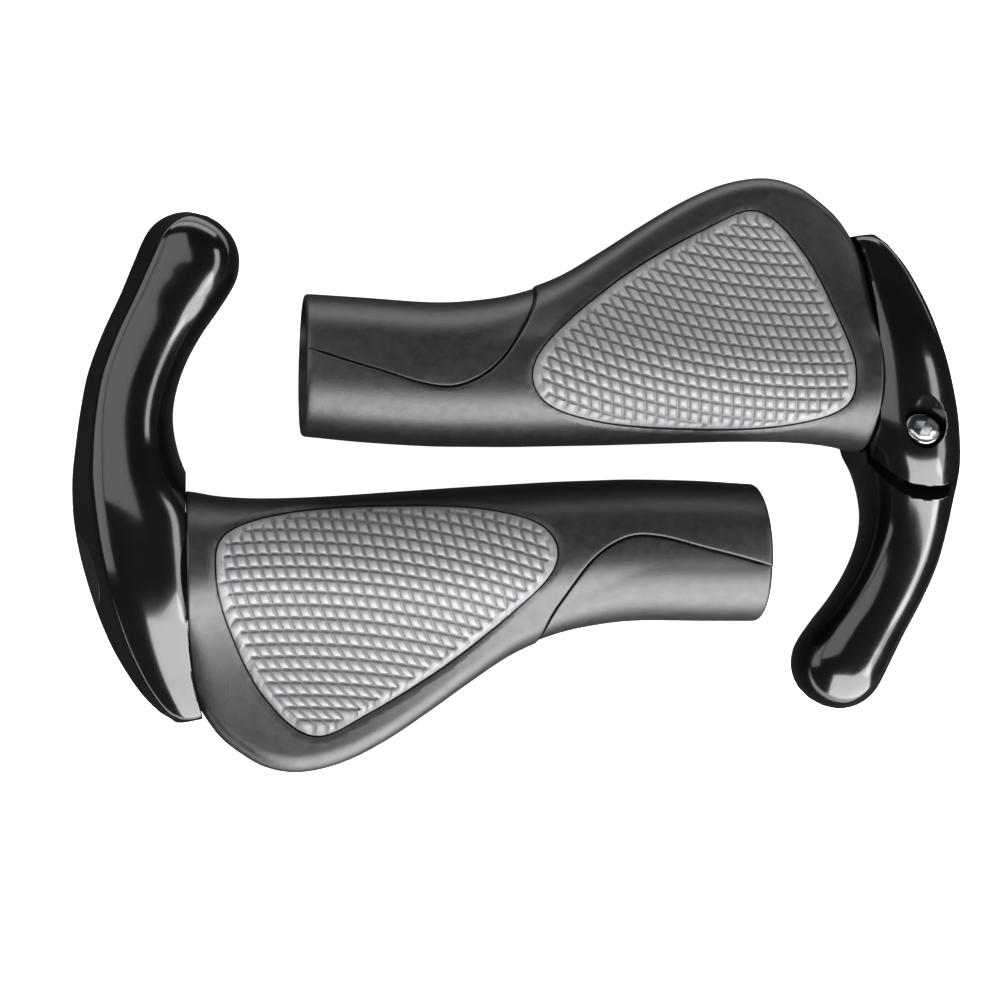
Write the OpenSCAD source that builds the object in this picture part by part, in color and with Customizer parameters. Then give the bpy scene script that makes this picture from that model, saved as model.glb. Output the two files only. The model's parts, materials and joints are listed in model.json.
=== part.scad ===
// A pair of winged handlebar grips, each with a clamped aluminium bar end.
// Millimetres, +Z up. The pair lies flat; the origin is under the middle of the pair.
// Each grip is drawn in its own frame, then placed: u runs along the handlebar from the
// mouth to the outer end, v runs from the bar's axis toward the palm wing, w is the top face.

/* [Handlebar] */
// Outside diameter of the handlebar that the grips slide onto
bar_d = 22.2; // [21.8:0.1:22.4]
// Radial clearance between the handlebar and the sleeve
bar_clearance = 0.05; // [0.02:0.01:0.05]

/* [Grip] */
// Length of each grip from its mouth to the face that meets the bar end
grip_length = 135; // [130:1:140]
// Thickness of the rubber cover and of the pads and panel that sit in its windows
cover_t = 2.2; // [1.6:0.1:2.6]
// Gap around each pad and panel
pad_gap = 0.25; // [0.1:0.05:0.4]
// How far the neck panel lies below the rubber cover around it
panel_drop = 0.5; // [0:0.1:0.8]
// Radius of the opening in the rubber at the mouth
mouth_r = 12.9; // [12:0.1:13.4]

/* [Bar end] */
// Half the height of the clamp at its thickest
clamp_half_height = 18.2; // [17.8:0.1:18.6]
// Gap between the grip's end face and the bar end
end_gap = 0.3; // [0.2:0.05:0.5]
// Length of the slotted collar that the bar end clamps
collar_length = 15; // [12:0.5:17]
// Wall of the slotted collar
collar_t = 1.35; // [1.1:0.05:1.6]
// Radius of the round cap in the outer side
cap_r = 9.5; // [8:0.5:10]

/* [Clamp bolt] */
// Lean of the bolt's outward axis from straight down toward the wing, degrees
bolt_lean = 35; // [32:1:38]
// Distance of the bolt's axis from the handlebar's axis
bolt_offset = 18.6; // [18.4:0.1:19]
// Distance of the bolt from the grip's end face
bolt_station = 10.5; // [9:0.5:12]
// Nominal thread diameter
thread_d = 5; // [5:1:5]
// Length under the head
bolt_length = 16; // [14:1:18]
// Width of the clamp's slot
slot_w = 3; // [2:0.5:3.5]

/* [Layout] */
// Middle of the left grip's mouth
left_mouth = [54.6, -20]; // [-80:0.1:80]
// Middle of the right grip's mouth
right_mouth = [-54, 24.1]; // [-80:0.1:80]
// Small turn of both grips in the plane, degrees
layout_turn = 1.05; // [0:0.05:1.5]

/* [Hidden] */
$fn = 64;

bore_r = bar_d / 2 + bar_clearance;
collar_r = bore_r + collar_t;
fit = 0.05;                            // radial clearance of a turning fit
ring_bore_r = collar_r + fit;
axis_height = clamp_half_height;
sleeve_start = 1.5;                    // the sleeve stops this far inside the rubber mouth
past = 3;                              // how far cutting solids run past a face

head_r = 4.25;
head_h = 5;
socket_af = 4;
socket_depth = 2.6;
washer_r = 4.6;
washer_t = 0.8;
seat_gap = 0.05;
counterbore_r = 5.2;
shank_r = thread_d / 2 - fit;
insert_r = 3.4;
insert_length = 9.5;
seat_s = 0.3;                          // places along the bolt's axis, outward positive,
slot_s = -2.3;                         // from the foot of the bar axis's perpendicular
slot_root = cap_r - 1;                 // distance from the bar axis at which the slot starts
insert_s = slot_s - slot_w - 0.3;

// Grip sections: place along u, middle and radius of the tube circle, middle and radius of
// the circle in the wing's edge. A section is the blended outline round the two circles.
GRIP = [
    [-3, -0.45, 16.25, 0.9, 16.1], [0, -0.45, 16.25, 0.9, 16.1], [14, -1.2, 16.5, 0.4, 16.2],
    [30, -1.8, 16.5, 0, 16.1], [40, -1.6, 16.6, 1.6, 15.3], [50, -1.2, 16.8, 5.6, 13.3],
    [60, -0.8, 16.8, 12.4, 10.4], [70, -0.4, 16.8, 20.9, 8.1], [80, -0.1, 16.6, 29.1, 6.6],
    [90, 0, 16.2, 36, 5.9], [100, 0, 15.7, 40.9, 5.6], [110, 0, 15.4, 42.9, 5.5],
    [118, 0, 15.4, 41.4, 5.5], [124, 0, 15.7, 37.6, 5.6], [128.5, 0, 16.2, 33.3, 5.9],
    [132, 0, 16.9, 27.6, 6.4], [135, 0, 17.4, 21.2, 7], [138, 0, 17.9, 15, 7.6]
];
NECK_STATIONS = [-3, 0, 1, 8, 16, 24, 32, 38, 44, 50, 56, 62];
WING_STATIONS = [68, 74, 80, 86, 93, 100, 106, 112, 117, 121, 125, 128.5, 132, 135, 138];

// Bar end sections: distance along it from the tail's tip, place past the grip's end, v,
// turn of the section, half width, half height and lift.
BAR_END = [
    [0, 1.8, 35.6, 0, 1.6, 2.6, 0], [0.8, 0.4, 34.8, 0, 4, 4.8, 0], [2.6, 1, 33, 0, 6, 6.4, 0],
    [6.6, 2.3, 29, 0, 8.4, 8.2, 0], [11.6, 4, 24, 0, 10, 10, 0], [17.6, 5.6, 18, 0, 11.6, 12.4, 0],
    [24.6, 7, 11, 0, 13, 15.2, 0], [32, 8.1, 3.6, 0, 14.2, 17.2, 0],
    [40, 9.1, -4.4, 0, 15.1, clamp_half_height - 0.3, 0],
    [47, 9.9, -11.4, 0, 15.3, clamp_half_height, 0],
    [53, 11.3, -17, 0, 14.1, clamp_half_height - 0.3, 0], [58, 12.6, -22, 0, 12.6, 16.6, 0.2],
    [64, 13.1, -28, 1, 11.3, 14.4, 0.6], [71, 12.8, -35, 7, 10.4, 12.6, 1.2],
    [78, 11.5, -42, 14, 10.1, 11.5, 2], [86.5, 8.6, -49.8, 22, 9.9, 10.9, 3],
    [95, 4.8, -57.2, 27, 10.1, 10.6, 4], [103, 1, -64, 29, 10.9, 10.9, 5],
    [109, -2, -69.5, 29, 11.3, 11, 5.8], [113, -3.8, -72.8, 29, 10.5, 10.2, 6.2],
    [116, -5.4, -75.6, 29, 8.5, 8.2, 6.4], [118.5, -6.6, -77.7, 29, 5.4, 5.2, 6.5],
    [119.6, -7.1, -78.6, 29, 2.2, 2.1, 6.5]
];
BAR_END_SIDES = 28;

// Plan outline of both pads, and of the groove between the cover and the neck panel
PAD = [
    [128.6, 1], [126.3, -7.6], [113, -12], [92, -13.3], [68, -12.2], [53.6, -7], [53.5, 4],
    [73, 21.6], [95, 35], [107.5, 39.3], [118.5, 29.5], [126, 13.5]
];
PAD_MIDDLE = [92, 8];
PAD_SIDES = 44;
PAD_RINGS = 5;
GROOVE = [
    [-past, 3.8], [8, 0.3], [17, -2.2], [26, -4.8], [33, -5.4], [39, -3.2], [44.3, 1.2], [49, 8],
    [52.6, 14.5], [55, 24]
];

// The end face of a grip and the bar end's face against it are turned about the bar's axis,
// as [radius, distance back from the end plane].
END_FACE = [[0, 0], [18, 0], [22, 0.4], [28, 1.2], [34.4, 2.9], [40, 5.5], [44, 8.5], [50, 13]];

// ---- curves ----

// Index of the table row that x falls after
function row(table, x, i = 0) =
    i >= len(table) - 2 || x < table[i + 1][0] ? i : row(table, x, i + 1);

// Slope of column k at row i
function slope(table, i, k) =
    let (lo = max(i - 1, 0), hi = min(i + 1, len(table) - 1))
    (table[hi][k] - table[lo][k]) / (table[hi][0] - table[lo][0]);

// Cubic between two values with given end slopes, h apart
function cubic(a, b, slope_a, slope_b, h, f) =
    a * (2 * f^3 - 3 * f^2 + 1) + b * (3 * f^2 - 2 * f^3)
    + h * (slope_a * (f^3 - 2 * f^2 + f) + slope_b * (f^3 - f^2));

// Column k of a table at x, on a smooth curve through its rows
function at(table, x, k) =
    let (i = row(table, x), h = table[i + 1][0] - table[i][0], f = (x - table[i][0]) / h)
    cubic(table[i][k], table[i + 1][k], slope(table, i, k), slope(table, i + 1, k), h, f);

// A closed smooth curve through points, with n points in all
function closed_curve(points, n) = [
    for (j = [0 : n - 1])
        let (x = j * len(points) / n, i = floor(x), f = x - i, m = len(points),
             a = points[(i + m - 1) % m], b = points[i % m],
             c = points[(i + 1) % m], d = points[(i + 2) % m])
        [for (k = [0, 1]) cubic(b[k], c[k], (c[k] - a[k]) / 2, (d[k] - b[k]) / 2, 1, f)]
];

// Points moved out from a middle by a distance
function grown(points, middle, distance) =
    [for (p = points) p + distance * (p - middle) / norm(p - middle)];

// ---- the grip's shape ----

// How much of a wing there is at u, from 0 on the neck to 1
function wing(u) = min(max((u - 45) / 30, 0), 1);

// The measures of the section at u, drawn in by t:
// [tube middle, tube radius, edge middle, edge radius, tube angle, edge angle]
function section_at(u, t) =
    let (c1 = at(GRIP, u, 1), r1 = at(GRIP, u, 2), c2 = at(GRIP, u, 3), r2 = at(GRIP, u, 4),
         tangent = acos((r1 - r2) / (c2 - c1)))
    [c1, r1 - t, c2, r2 - t, tangent - 9 * wing(u), tangent + 7 * wing(u)];

// Height of the top surface between the two circles, at v
function blend_height(s, v) =
    let (v1 = s[0] + s[1] * cos(s[4]), v2 = s[2] + s[3] * cos(s[5]), h = v2 - v1)
    cubic(s[1] * sin(s[4]), s[3] * sin(s[5]), -1 / tan(s[4]), -1 / tan(s[5]), h, (v - v1) / h);

// Height of the top surface at [u, v], drawn in by t
function height(u, v, t) =
    let (s = section_at(u * 135 / grip_length, t))
    v < s[0] + s[1] * cos(s[4]) ? sqrt(max(s[1]^2 - (v - s[0])^2, 0))
    : v > s[2] + s[3] * cos(s[5]) ? sqrt(max(s[3]^2 - (v - s[2])^2, 0))
    : blend_height(s, v);

TUBE_STEPS = 7;
BLEND_STEPS = 4;
EDGE_STEPS = 4;

// The upper outline at u from the horn side to the wing's edge
function upper_outline(u, t) =
    let (s = section_at(u, t), v1 = s[0] + s[1] * cos(s[4]), v2 = s[2] + s[3] * cos(s[5]))
    concat(
        [for (i = [0 : TUBE_STEPS]) let (a = 180 + (s[4] - 180) * i / TUBE_STEPS)
            [s[0] + s[1] * cos(a), s[1] * sin(a)]],
        [for (i = [1 : BLEND_STEPS - 1]) let (v = v1 + (v2 - v1) * i / BLEND_STEPS)
            [v, blend_height(s, v)]],
        [for (i = [0 : EDGE_STEPS]) let (a = s[5] * (1 - i / EDGE_STEPS))
            [s[2] + s[3] * cos(a), s[3] * sin(a)]]);

// The whole outline at u
function grip_section(u, t) =
    let (top = upper_outline(u, t), n = len(top))
    concat([for (p = top) [u * grip_length / 135, p[0], p[1]]],
           [for (i = [n - 2 : -1 : 1]) [u * grip_length / 135, top[i][0], -top[i][1]]]);

// A closed solid through rings of points, each ring running the same way round
module loft(rings) {
    n = len(rings[0]);
    m = len(rings);
    polyhedron(
        points = [for (r = rings) each r],
        faces = concat(
            [[for (i = [n - 1 : -1 : 0]) i]],
            [for (j = [0 : m - 2], i = [0 : n - 1])
                [j * n + i, j * n + (i + 1) % n, (j + 1) * n + (i + 1) % n]],
            [for (j = [0 : m - 2], i = [0 : n - 1])
                [j * n + i, (j + 1) * n + (i + 1) % n, (j + 1) * n + i]],
            [[for (i = [0 : n - 1]) (m - 1) * n + i]]));
}

module grip_solid(t, stations) {
    loft([for (u = stations) grip_section(u, t)]);
}

// A round solid along the bar's axis from u0 to u1
module along_bar(r, u0, u1) {
    translate([u0, 0, 0]) rotate([0, 90, 0]) cylinder(r = r, h = u1 - u0);
}

// Everything beyond the grip's end face, or everything inside it, out by gap
module beyond_end() {
    translate([grip_length, 0, 0]) rotate([0, 90, 0]) rotate_extrude()
        polygon(concat([for (p = END_FACE) [p[0], -p[1]]], [[50, 12], [0, 12]]));
}

module inside_end(gap) {
    translate([grip_length + gap, 0, 0]) rotate([0, 90, 0]) rotate_extrude()
        polygon(concat([for (p = END_FACE) [p[0], -p[1]]], [[50, -30], [0, -30]]));
}

// Everything outside the mouth's plane at u
module before(u) {
    translate([u - 10, -60, -30]) cube([10, 120, 60]);
}

// The part of the grip that the neck panel covers, out by gap
module neck_region(gap) {
    translate([0, 0, -30]) linear_extrude(60)
        polygon(concat([for (p = neck_line()) p - [0, gap]], [[-past, 40]]));
}

// The groove's line as a smooth curve
function neck_line() =
    [for (u = [0 : 0.5 : len(GROOVE) - 1]) let (i = floor(u), n = len(GROOVE) - 1,
        a = GROOVE[max(i - 1, 0)], b = GROOVE[i], c = GROOVE[min(i + 1, n)],
        d = GROOVE[min(i + 2, n)])
        [for (k = [0, 1]) cubic(b[k], c[k], (c[k] - a[k]) / 2, (d[k] - b[k]) / 2, 1, u - i)]];

pad_outline = closed_curve(PAD, PAD_SIDES);

// A pad in the top face: a sheet that follows the surface from depth t up to the face
module pad_solid(t) {
    ring_points = function (depth) [
        for (k = [1 : PAD_RINGS], p = pad_outline)
            let (q = PAD_MIDDLE + (p - PAD_MIDDLE) * k / PAD_RINGS)
            [q[0], q[1], height(q[0], q[1], depth)]
    ];
    n = PAD_SIDES;
    count = n * PAD_RINGS;
    middle = function (depth)
        [PAD_MIDDLE[0], PAD_MIDDLE[1], height(PAD_MIDDLE[0], PAD_MIDDLE[1], depth)];
    // faces of one sheet whose points start at o and whose middle is point c
    sheet = function (o, c) concat(
        [for (i = [0 : n - 1]) [c, o + (i + 1) % n, o + i]],
        [for (k = [0 : PAD_RINGS - 2], i = [0 : n - 1])
            [o + k * n + i, o + k * n + (i + 1) % n, o + (k + 1) * n + (i + 1) % n]],
        [for (k = [0 : PAD_RINGS - 2], i = [0 : n - 1])
            [o + k * n + i, o + (k + 1) * n + (i + 1) % n, o + (k + 1) * n + i]]);
    flipped = function (faces) [for (f = faces) [f[0], f[2], f[1]]];
    rim = count - n;
    polyhedron(
        points = concat(ring_points(0), ring_points(t), [middle(0), middle(t)]),
        faces = concat(
            sheet(0, 2 * count),
            flipped(sheet(count, 2 * count + 1)),
            [for (i = [0 : n - 1]) [rim + i, rim + (i + 1) % n, count + rim + (i + 1) % n]],
            [for (i = [0 : n - 1]) [rim + i, count + rim + (i + 1) % n, count + rim + i]]));
}

// The window that a pad sits in
module pad_window() {
    linear_extrude(30) polygon(grown(pad_outline, PAD_MIDDLE, pad_gap));
}

// ---- the grip's pieces ----

module rubber_cover() {
    stations = concat(NECK_STATIONS, WING_STATIONS);
    color("#27282a") difference() {
        grip_solid(0, stations);
        grip_solid(cover_t, stations);
        before(0);
        beyond_end();
        neck_region(0);
        pad_window();
        mirror([0, 0, 1]) pad_window();
    }
}

module core_sleeve() {
    collar_end = grip_length + collar_length;
    color("#1b1c1e") difference() {
        union() {
            difference() {
                grip_solid(cover_t, concat(NECK_STATIONS, WING_STATIONS));
                before(sleeve_start);
                beyond_end();
            }
            along_bar(collar_r, grip_length - 10, collar_end);
        }
        along_bar(bore_r, -past, collar_end + past);
        translate([sleeve_start - 0.01, 0, 0]) rotate([0, 90, 0])
            cylinder(r1 = mouth_r, r2 = bore_r, h = mouth_r - bore_r);
        for (a = [45, 135])
            rotate([a, 0, 0]) translate([grip_length + 2, -collar_r - past, -0.6])
                cube([collar_length + past, 2 * (collar_r + past), 1.2]);
    }
}

module neck_panel() {
    color("#2c2d30") difference() {
        intersection() {
            grip_solid(panel_drop, NECK_STATIONS);
            neck_region(-pad_gap);
        }
        grip_solid(cover_t, NECK_STATIONS);
        before(0);
    }
}

module upper_pad() {
    color("#a7abb0") pad_solid(cover_t - 0.15);
}

module lower_pad() {
    color("#a7abb0") mirror([0, 0, 1]) pad_solid(cover_t - 0.15);
}

// ---- the bar end's pieces ----

function power(x, n) = pow(abs(x), n);

// Unit outline of the bar end at angle a: a full oval with a flat facet on the outer side,
// above and below, which leaves a crease along the top
function unit_r(a) =
    let (oval = pow(power(cos(a), 2.3) + power(sin(a), 2.3), -1 / 2.3),
         b = a > 180 ? 360 - a : a,
         facet = abs(b - 28) < 60 ? 0.953 / cos(b - 28) : 9)
    min(oval, facet);

function bar_end_ring(s) =
    let (e = at(BAR_END, s, 1), v = at(BAR_END, s, 2), turn = at(BAR_END, s, 3),
         half_w = at(BAR_END, s, 4), half_h = at(BAR_END, s, 5), lift = at(BAR_END, s, 6))
    [for (i = [0 : BAR_END_SIDES - 1])
        let (a = 360 * i / BAR_END_SIDES, r = unit_r(a), x = half_w * r * cos(a))
        [grip_length + e + x * cos(turn), v - x * sin(turn), lift + half_h * r * sin(a)]];

// The bolt's own frame: +Z outward along its axis, from the foot of the perpendicular
module at_bolt() {
    translate([grip_length + bolt_station, 0, 0]) rotate([180 + bolt_lean, 0, 0])
        translate([0, bolt_offset, 0]) children();
}

module bar_end_outside() {
    loft([for (s = [0, 0.8, 2.6, 6.6, 11.6, 17.6, 24.6, 32, 40, 47, 53, 58, 64, 71, 78, 86.5,
                    95, 103, 109, 113, 116, 118.5, 119.6]) bar_end_ring(s)]);
}

module bar_end() {
    color("#0d0d0e") difference() {
        bar_end_outside();
        inside_end(end_gap);
        along_bar(ring_bore_r, grip_length - past, grip_length + collar_length + end_gap);
        along_bar(cap_r, grip_length + collar_length, grip_length + 40);
        at_bolt() {
            translate([-30, slot_root - bolt_offset, slot_s - slot_w]) cube([60, 40, slot_w]);
            translate([0, 0, slot_s - slot_w - 1]) cylinder(r = thread_d / 2 + 0.3, h = 20);
            translate([0, 0, seat_s]) cylinder(r = counterbore_r, h = 20);
            translate([0, 0, insert_s - insert_length - 1.5])
                cylinder(r = shank_r + 0.4, h = insert_length);
            translate([0, 0, insert_s - insert_length])
                cylinder(r = insert_r, h = insert_length + 2);
        }
    }
}

// A round cap pressed into the outer side and flush with it, hollow behind
module end_cap() {
    u0 = grip_length + collar_length + 1;
    color("#161617") difference() {
        intersection() {
            bar_end_outside();
            along_bar(cap_r, u0, grip_length + 40);
        }
        along_bar(cap_r - 1.6, u0 - past, u0 + 2.4);
    }
}

module thread_insert() {
    color("#b9b4a6") at_bolt() translate([0, 0, insert_s - insert_length]) difference() {
        cylinder(r = insert_r, h = insert_length);
        translate([0, 0, -1]) cylinder(r = thread_d / 2, h = insert_length + 2);
    }
}

module clamp_washer() {
    color("#c8cacc") at_bolt() translate([0, 0, seat_s + seat_gap]) difference() {
        cylinder(r = washer_r, h = washer_t);
        translate([0, 0, -1]) cylinder(r = thread_d / 2 + 0.2, h = washer_t + 2);
    }
}

module clamp_bolt() {
    color("#d5d7d9") at_bolt() translate([0, 0, seat_s + washer_t + 2 * seat_gap]) difference() {
        union() {
            translate([0, 0, -bolt_length + 0.6]) cylinder(r = shank_r, h = bolt_length);
            translate([0, 0, -bolt_length]) cylinder(r1 = shank_r - 0.6, r2 = shank_r, h = 0.6);
            cylinder(r = head_r, h = head_h - 0.5);
            translate([0, 0, head_h - 0.5]) cylinder(r1 = head_r, r2 = head_r - 0.5, h = 0.5);
        }
        translate([0, 0, head_h - socket_depth])
            cylinder(r = socket_af / sqrt(3), h = socket_depth + 1, $fn = 6);
    }
}

// ---- places of the two grips ----

module place_left() {
    translate([left_mouth[0], left_mouth[1], axis_height]) rotate([0, 0, 180 + layout_turn])
        children();
}

// The right grip is the left one's mirror image, turned over so that its bolt faces up
module place_right() {
    translate([right_mouth[0], right_mouth[1], axis_height]) rotate([0, 0, -layout_turn])
        mirror([0, 0, 1]) children();
}

place_left() rubber_cover();  // left_rubber_cover
place_left() core_sleeve();  // left_core_sleeve
place_left() neck_panel();  // left_neck_panel
place_left() upper_pad();  // left_upper_pad
place_left() lower_pad();  // left_lower_pad
place_left() bar_end();  // left_bar_end
place_left() end_cap();  // left_end_cap
place_left() thread_insert();  // left_thread_insert
place_left() clamp_washer();  // left_clamp_washer
place_left() clamp_bolt();  // left_clamp_bolt
place_right() rubber_cover();  // right_rubber_cover
place_right() core_sleeve();  // right_core_sleeve
place_right() neck_panel();  // right_neck_panel
place_right() upper_pad();  // right_upper_pad
place_right() lower_pad();  // right_lower_pad
place_right() bar_end();  // right_bar_end
place_right() end_cap();  // right_end_cap
place_right() thread_insert();  // right_thread_insert
place_right() clamp_washer();  // right_clamp_washer
place_right() clamp_bolt();  // right_clamp_bolt
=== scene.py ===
"""A pair of winged handlebar grips with clamped bar ends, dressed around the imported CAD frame.

Every piece is drawn in millimetres in one grip's own frame: u runs along the handlebar from the
mouth to the outer end, v from the bar's axis toward the palm wing, w up from the face that
carries the upper pad. place() then puts a piece on the left or the right grip, in metres.
"""

import json
import math

import bmesh
import bpy
import numpy as np
from mathutils import Matrix, Vector
from mathutils.geometry import delaunay_2d_cdt


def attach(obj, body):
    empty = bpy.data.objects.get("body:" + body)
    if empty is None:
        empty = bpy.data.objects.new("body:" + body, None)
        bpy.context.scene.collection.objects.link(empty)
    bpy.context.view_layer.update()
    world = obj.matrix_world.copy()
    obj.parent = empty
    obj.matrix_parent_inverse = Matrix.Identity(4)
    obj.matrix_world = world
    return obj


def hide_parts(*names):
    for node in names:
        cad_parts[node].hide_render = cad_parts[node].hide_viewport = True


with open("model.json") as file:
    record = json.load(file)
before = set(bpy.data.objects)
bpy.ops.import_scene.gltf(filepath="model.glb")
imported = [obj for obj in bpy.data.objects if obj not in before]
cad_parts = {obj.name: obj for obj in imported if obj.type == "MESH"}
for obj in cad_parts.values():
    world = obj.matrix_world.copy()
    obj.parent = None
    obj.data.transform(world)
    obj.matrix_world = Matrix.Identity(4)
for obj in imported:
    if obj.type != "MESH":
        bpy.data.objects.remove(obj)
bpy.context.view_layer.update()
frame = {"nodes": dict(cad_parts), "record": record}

MM = 0.001
SIDES = ("left", "right")

# ---------------------------------------------------------------- sizes, in millimetres

GRIP_LENGTH = 135.0
COVER_T = 2.2
SKIN_TRIM = 0.06       # keeps the smooth skin inside the CAD's facets
PAD_T = COVER_T - 0.15
WINDOW_GAP = 0.33      # between a pad's outline and its window in the cover
PANEL_DROP = 0.5
PANEL_GAP, CLOSED_GAP = 0.5, 0.03      # between cover and panel, and where they meet the mouth
PANEL_START, PANEL_OPENING = 1.5, 2.5  # where that gap starts to widen, and over what length
MOUTH_ROUND, COVER_ROUND, WINDOW_ROUND, GROOVE_ROUND, PANEL_ROUND = 1.0, 0.55, 0.3, 0.5, 0.35
RING_BORE_R = 12.55
COLLAR_LENGTH = 15.0
RING_SPARE = 0.3       # how far the ring's bore runs past the collar
END_GAP = 0.18
CAP_R, CAP_FIT, CAP_WALL, CAP_TOP = 9.5, 0.08, 1.6, 2.4
PAST_ALL = 40          # from the grip's end to outside everything
BORE_START, BORE_END = 3.25, 150.0

BOLT_LEAN = math.radians(35)
BOLT_OFFSET = 18.6
BOLT_STATION = 10.5
HEAD_R, HEAD_H = 4.25, 5.0
SHANK_R, BOLT_LENGTH = 2.45, 16.0
SOCKET_AF, SOCKET_DEPTH = 4.0, 2.6
THREAD_PITCH, THREAD_DEPTH, THREAD_RIDGES, POINT = 0.8, 0.32, 14, 0.6
WASHER_R, WASHER_T, WASHER_BORE_R = 4.6, 0.8, 2.7
SEAT_GAP = 0.05
COUNTERBORE_R, CLEARANCE_R, TIP_HOLE_R = 5.2, 2.8, 2.85
SEAT_S, SLOT_S, SLOT_W = 0.3, -2.3, 3.0
SLOT_ROOT = CAP_R - 1
INSERT_S = SLOT_S - SLOT_W - 0.3
INSERT_R, INSERT_LENGTH, TIP_ROOM = 3.4, 9.5, 1.5

# place along u, then middle and radius of the tube circle and of the circle in the wing's edge
GRIP = np.array([
    (-3, -0.45, 16.25, 0.9, 16.1), (0, -0.45, 16.25, 0.9, 16.1), (14, -1.2, 16.5, 0.4, 16.2),
    (30, -1.8, 16.5, 0, 16.1), (40, -1.6, 16.6, 1.6, 15.3), (50, -1.2, 16.8, 5.6, 13.3),
    (60, -0.8, 16.8, 12.4, 10.4), (70, -0.4, 16.8, 20.9, 8.1), (80, -0.1, 16.6, 29.1, 6.6),
    (90, 0, 16.2, 36, 5.9), (100, 0, 15.7, 40.9, 5.6), (110, 0, 15.4, 42.9, 5.5),
    (118, 0, 15.4, 41.4, 5.5), (124, 0, 15.7, 37.6, 5.6), (128.5, 0, 16.2, 33.3, 5.9),
    (132, 0, 16.9, 27.6, 6.4), (135, 0, 17.4, 21.2, 7), (138, 0, 17.9, 15, 7.6)])

# distance along the bar end from its tail's tip, place past the grip's end, v, turn, half width,
# half height and lift
BAR_END = np.array([
    (0, 1.8, 35.6, 0, 1.6, 2.6, 0), (0.8, 0.4, 34.8, 0, 4, 4.8, 0), (2.6, 1, 33, 0, 6, 6.4, 0),
    (6.6, 2.3, 29, 0, 8.4, 8.2, 0), (11.6, 4, 24, 0, 10, 10, 0), (17.6, 5.6, 18, 0, 11.6, 12.4, 0),
    (24.6, 7, 11, 0, 13, 15.2, 0), (32, 8.1, 3.6, 0, 14.2, 17.2, 0),
    (40, 9.1, -4.4, 0, 15.1, 17.9, 0), (47, 9.9, -11.4, 0, 15.3, 18.2, 0),
    (53, 11.3, -17, 0, 14.1, 17.9, 0), (58, 12.6, -22, 0, 12.6, 16.6, 0.2),
    (64, 13.1, -28, 1, 11.3, 14.4, 0.6), (71, 12.8, -35, 7, 10.4, 12.6, 1.2),
    (78, 11.5, -42, 14, 10.1, 11.5, 2), (86.5, 8.6, -49.8, 22, 9.9, 10.9, 3),
    (95, 4.8, -57.2, 27, 10.1, 10.6, 4), (103, 1, -64, 29, 10.9, 10.9, 5),
    (109, -2, -69.5, 29, 11.3, 11, 5.8), (113, -3.8, -72.8, 29, 10.5, 10.2, 6.2),
    (116, -5.4, -75.6, 29, 8.5, 8.2, 6.4), (118.5, -6.6, -77.7, 29, 5.4, 5.2, 6.5),
    (119.6, -7.1, -78.6, 29, 2.2, 2.1, 6.5)])

# a pad's outline in u, v
PAD = np.array([
    (128.6, 1), (126.3, -7.6), (113, -12), (92, -13.3), (68, -12.2), (53.6, -7), (53.5, 4),
    (73, 21.6), (95, 35), (107.5, 39.3), (118.5, 29.5), (126, 13.5)], float)
PAD_MIDDLE = np.array((92.0, 8.0))
# the parting line between the cover and the neck panel in u, v
GROOVE = np.array([
    (-3, 3.8), (8, 0.3), (17, -2.2), (26, -4.8), (33, -5.4), (39, -3.2), (44.3, 1.2), (49, 8),
    (52.6, 14.5), (55, 24)], float)
# radius, and how far the grip's end face lies back there
END_FACE = np.array([
    (0, 0), (18, 0), (22, 0.4), (28, 1.2), (34.4, 2.9), (40, 5.5), (44, 8.5), (50, 13)], float)

# ---------------------------------------------------------------- curves


def cubic(a, b, slope_a, slope_b, h, f):
    """Cubic between a and b, h apart, with given end slopes."""
    return (a * (2 * f**3 - 3 * f**2 + 1) + b * (3 * f**2 - 2 * f**3)
            + h * (slope_a * (f**3 - 2 * f**2 + f) + slope_b * (f**3 - f**2)))


def at(table, x, column):
    """A column of a table at x, on a smooth curve through its rows."""
    keys, values = table[:, 0], table[:, column]
    i = np.clip(np.searchsorted(keys, x, side="right") - 1, 0, len(keys) - 2)

    def slope(j):
        low, high = np.maximum(j - 1, 0), np.minimum(j + 1, len(keys) - 1)
        return (values[high] - values[low]) / (keys[high] - keys[low])

    h = keys[i + 1] - keys[i]
    return cubic(values[i], values[i + 1], slope(i), slope(i + 1), h, (x - keys[i]) / h)


def curve_through(points, per_span, closed):
    """A smooth curve through points, with per_span points in each span."""
    m = len(points)
    spans = m if closed else m - 1
    x = np.arange(spans * per_span + (0 if closed else 1)) / per_span
    i = np.minimum(x.astype(int), spans - 1)
    f = (x - i)[:, None]

    def pick(j):
        return points[j % m] if closed else points[np.clip(j, 0, m - 1)]

    a, b, c, d = pick(i - 1), pick(i), pick(i + 1), pick(i + 2)
    return cubic(b, c, (c - a) / 2, (d - b) / 2, 1, f)


def grown(points, distance):
    """A pad's outline moved out from its middle."""
    away = points - PAD_MIDDLE
    return points + distance * away / np.linalg.norm(away, axis=1)[:, None]


def smooth_step(x):
    """0 to 1 with level ends."""
    x = np.clip(x, 0, 1)
    return x * x * (3 - 2 * x)


# ---------------------------------------------------------------- the grip's surface

WING_START, WING_GROWTH = 45, 30       # where the hollow beside the tube starts and grows
TUBE_BLEND, EDGE_BLEND = math.radians(9), math.radians(7)
END_PASSES = 30


def section(u):
    """Middles, radii and the angles where the blend leaves the two circles at u."""
    c1, r1, c2, r2 = (at(GRIP, u, k) for k in range(1, 5))
    tangent = np.arccos(np.clip((r1 - r2) / (c2 - c1), -1, 1))
    wing = np.clip((u - WING_START) / WING_GROWTH, 0, 1)
    return c1, r1, c2, r2, tangent - TUBE_BLEND * wing, tangent + EDGE_BLEND * wing


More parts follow.
